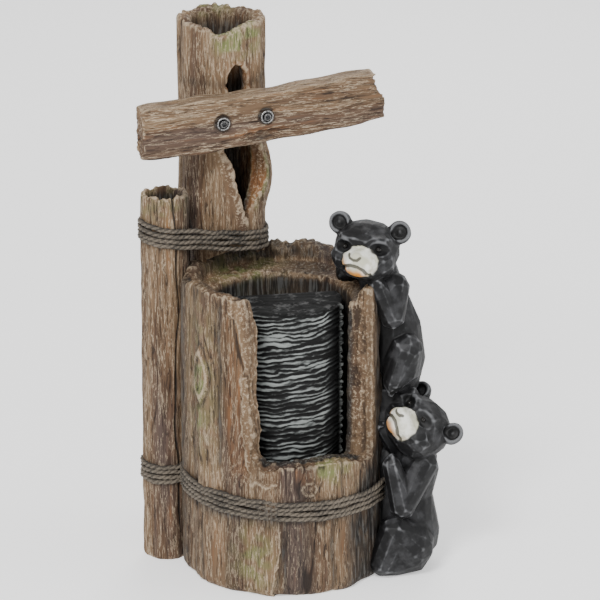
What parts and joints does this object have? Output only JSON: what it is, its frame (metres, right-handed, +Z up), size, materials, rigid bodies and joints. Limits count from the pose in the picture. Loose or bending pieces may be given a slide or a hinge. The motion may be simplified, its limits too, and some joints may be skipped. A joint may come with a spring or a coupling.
{
  "type": "bear garden fountain",
  "caption": "Garden fountain cast as a hollow log stump with a ribbed black water wall, split posts, a bolted cross board, rope lashings and bear cubs climbing its side.",
  "frame": {"origin": "on the ground under the stump's axis, on the flat underside", "axes": "+Z up, -Y out of the stump's front opening, +X towards the side the bears climb"},
  "size_m": [0.3719, 0.318, 0.7038],
  "materials": {
    "resin_bark": "painted polyresin bark, dry-brushed",
    "black_slate_resin": "satin black resin with grey dry-brushing on the ribs",
    "bolt_steel": "weathered steel"
  },
  "bodies": {
    "root": {"log_casting": "resin_bark", "water_wall": "black_slate_resin", "left_board_bolt": "bolt_steel", "right_board_bolt": "bolt_steel"}
  },
  "joints": []
}
